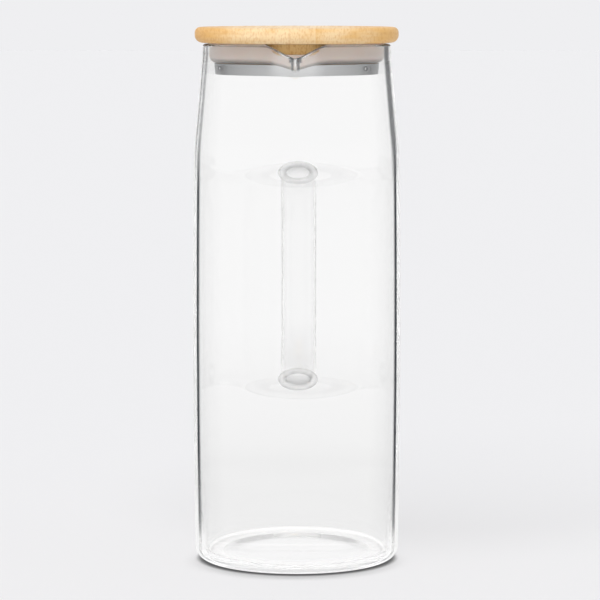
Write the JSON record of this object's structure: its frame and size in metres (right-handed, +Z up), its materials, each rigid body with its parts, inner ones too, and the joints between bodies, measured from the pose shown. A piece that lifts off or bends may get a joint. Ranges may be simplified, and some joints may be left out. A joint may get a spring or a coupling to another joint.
{
  "type": "glass jug",
  "caption": "Tall clear glass jug with a pinched pouring lip, a hollow oval glass handle and a lift-off bamboo lid with a silicone seal and steel band.",
  "frame": {"origin": "middle of the flat resting face, on the axis of the round body", "axes": "+Z up along the body's axis, -Y towards the pouring lip, +Y towards the handle, +X to the right seen from the lip"},
  "size_m": [0.105, 0.1516, 0.2696],
  "materials": {
    "glass": "clear, polished",
    "bamboo": "fine-grained bamboo, satin",
    "dark_bamboo": "end-sanded bamboo, matt",
    "silicone": "translucent, matt",
    "steel": "brushed round the band"
  },
  "bodies": {
    "jug": {"glass_body": "glass", "handle": "glass"},
    "lid": {"lid_disc": "bamboo", "lid_plug": "dark_bamboo", "seal_ring": "silicone", "steel_band": "steel", "rivet_1": "steel", "rivet_2": "steel", "rivet_3": "steel"}
  },
  "joints": [
    {"name": "lid_lift", "type": "slide", "parent": "jug", "child": "lid", "axis": [0, 0, 1], "range_m": [0, 0.06]}
  ]
}
